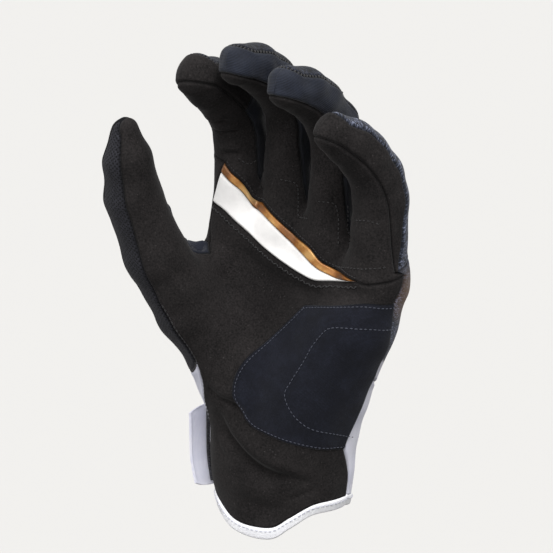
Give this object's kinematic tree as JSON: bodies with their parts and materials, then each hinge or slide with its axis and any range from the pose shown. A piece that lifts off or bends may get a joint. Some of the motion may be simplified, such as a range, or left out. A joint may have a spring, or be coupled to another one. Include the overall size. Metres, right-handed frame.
{
  "type": "enduro motorcycle glove",
  "caption": "Left-hand off-road riding glove, held in its worn shape: suede palm, knit back, fingers curled forward, open cuff with a wrist tab.",
  "frame": {"origin": "centre of the cuff mouth", "axes": "+Z from the cuff mouth to the fingertips, -Y the side the palm faces, -X the thumb side, +X the little-finger side"},
  "size_m": [0.1256, 0.097, 0.2268],
  "materials": {
    "suede": "matt brushed synthetic suede, near-black brown",
    "navy_stretch": "matt navy stretch knit",
    "denim_knit": "speckled blue-grey denim-look knit",
    "dotted_mesh": "grey-navy knit with fine dots",
    "black_cloth": "plain black cloth",
    "white_cloth": "smooth off-white cloth with a faint lilac cast",
    "white_grip": "smooth white grip print",
    "gold_trim": "satin bronze-gold coated trim",
    "hook_tape": "black hook-and-loop tape"
  },
  "bodies": {
    "root": {"palm_panel": "suede", "finger_panel": "suede", "palm_strip_white": "white_grip", "palm_strip_gold": "gold_trim", "heel_patch": "navy_stretch", "gusset_index_middle": "navy_stretch", "gusset_middle_ring": "navy_stretch", "gusset_ring_little": "navy_stretch", "index_side": "suede", "little_side": "suede", "index_back": "denim_knit", "middle_back": "denim_knit", "ring_back": "denim_knit", "little_back": "denim_knit", "back_panel": "denim_knit", "thumb_mesh": "dotted_mesh", "thumb_back": "black_cloth", "web_gusset": "navy_stretch", "cuff_back": "white_cloth", "cuff_binding": "white_cloth", "closing_strap": "white_cloth", "hook_pad": "hook_tape", "loop_pad": "hook_tape"}
  },
  "joints": []
}
